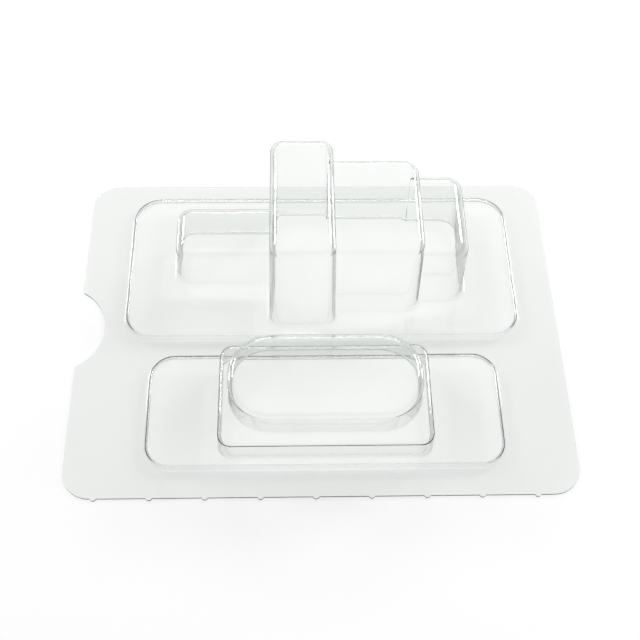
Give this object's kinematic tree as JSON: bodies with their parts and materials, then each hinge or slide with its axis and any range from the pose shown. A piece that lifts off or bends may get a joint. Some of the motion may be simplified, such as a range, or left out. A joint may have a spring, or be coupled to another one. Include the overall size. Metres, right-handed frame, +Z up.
{
  "type": "thermoformed plastic tray",
  "caption": "Clear thermoformed blister tray: flat flange with a finger notch, two shallow pads, a row of boxy domes behind and a box topped by an oval dome in front.",
  "frame": {"origin": "middle of the flange's underside, the face that a lid is sealed to", "axes": "+X along the long side, away from the finger notch; +Y from the front edge to the back edge; +Z up through the domes"},
  "size_m": [0.14, 0.1076, 0.0394],
  "materials": {
    "clear_sheet": "clear, glossy, faint grey-green cut edge"
  },
  "bodies": {
    "root": {"tray": "clear_sheet"}
  },
  "joints": []
}
